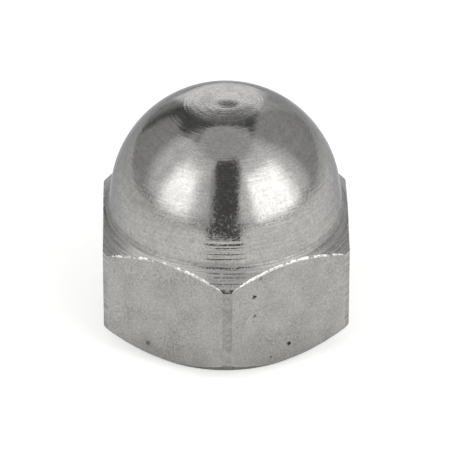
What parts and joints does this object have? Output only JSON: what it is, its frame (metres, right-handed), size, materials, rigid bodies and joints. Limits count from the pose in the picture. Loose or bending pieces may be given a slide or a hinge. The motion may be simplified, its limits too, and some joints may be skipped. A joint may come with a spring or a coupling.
{
  "type": "cap nut",
  "caption": "Domed hexagon cap nut, turned in one piece from steel bar, with a blind threaded hole in its flat bearing face.",
  "frame": {"origin": "centre of the flat bearing face, on the axis of the thread; the nut stands on this face", "axes": "+Z along the thread's axis, from the bearing face to the crown of the dome; one corner of the hexagon points along -Y, and two flats face +X and -X"},
  "size_m": [0.017, 0.0192, 0.0172],
  "materials": {
    "turned_steel": "turned stainless steel: a smooth bright dome with fine turning rings at its foot, satin flats with a drawn grain, and a few small pits"
  },
  "bodies": {
    "root": {"cap_nut": "turned_steel"}
  },
  "joints": []
}
